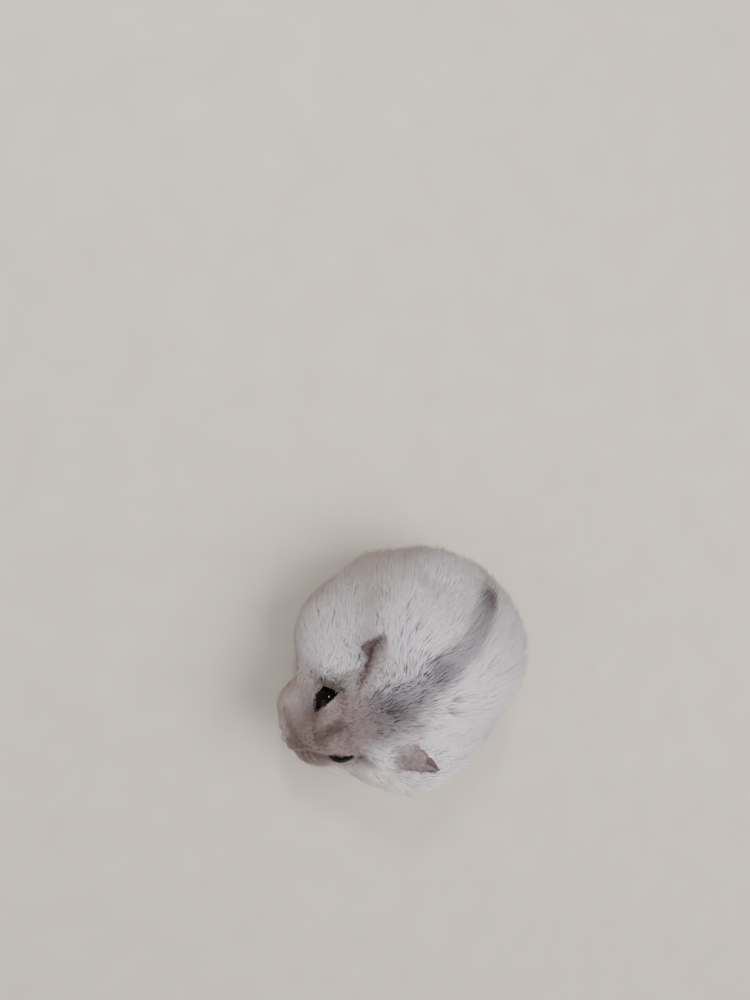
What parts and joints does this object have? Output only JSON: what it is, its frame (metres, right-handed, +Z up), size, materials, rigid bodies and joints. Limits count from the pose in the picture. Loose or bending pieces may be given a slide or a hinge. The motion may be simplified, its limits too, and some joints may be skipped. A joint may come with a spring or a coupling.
{
  "type": "dwarf hamster",
  "caption": "Crouched dwarf hamster with a round furred body, head turned aside, blunt muzzle, dark eyes, upright ears and short feet; a still, life-size display animal.",
  "frame": {"origin": "middle of the animal's plan box, on the floor it crouches on", "axes": "+X towards the front of the body, +Y to the animal's left, +Z up"},
  "size_m": [0.0516, 0.0474, 0.0359],
  "materials": {
    "coat": "soft matt fur, pearl white with a slate-grey back stripe and crown",
    "ear_skin": "thin brown-grey skin with short hair",
    "eye": "wet, black, glossy",
    "nose_skin": "bare pink-brown skin, slightly moist",
    "paw_skin": "pink skin under short white hair"
  },
  "bodies": {
    "root": {"ear_left": "ear_skin", "ear_right": "ear_skin", "eye_left": "eye", "eye_right": "eye", "forefoot_left": "paw_skin", "forefoot_right": "paw_skin", "foreleg_left": "coat", "foreleg_right": "coat", "head": "coat", "hindfoot_left": "paw_skin", "hindfoot_right": "paw_skin", "hindleg_left": "coat", "hindleg_right": "coat", "neck": "coat", "nose": "nose_skin", "tail": "coat", "trunk": "coat"}
  },
  "joints": []
}
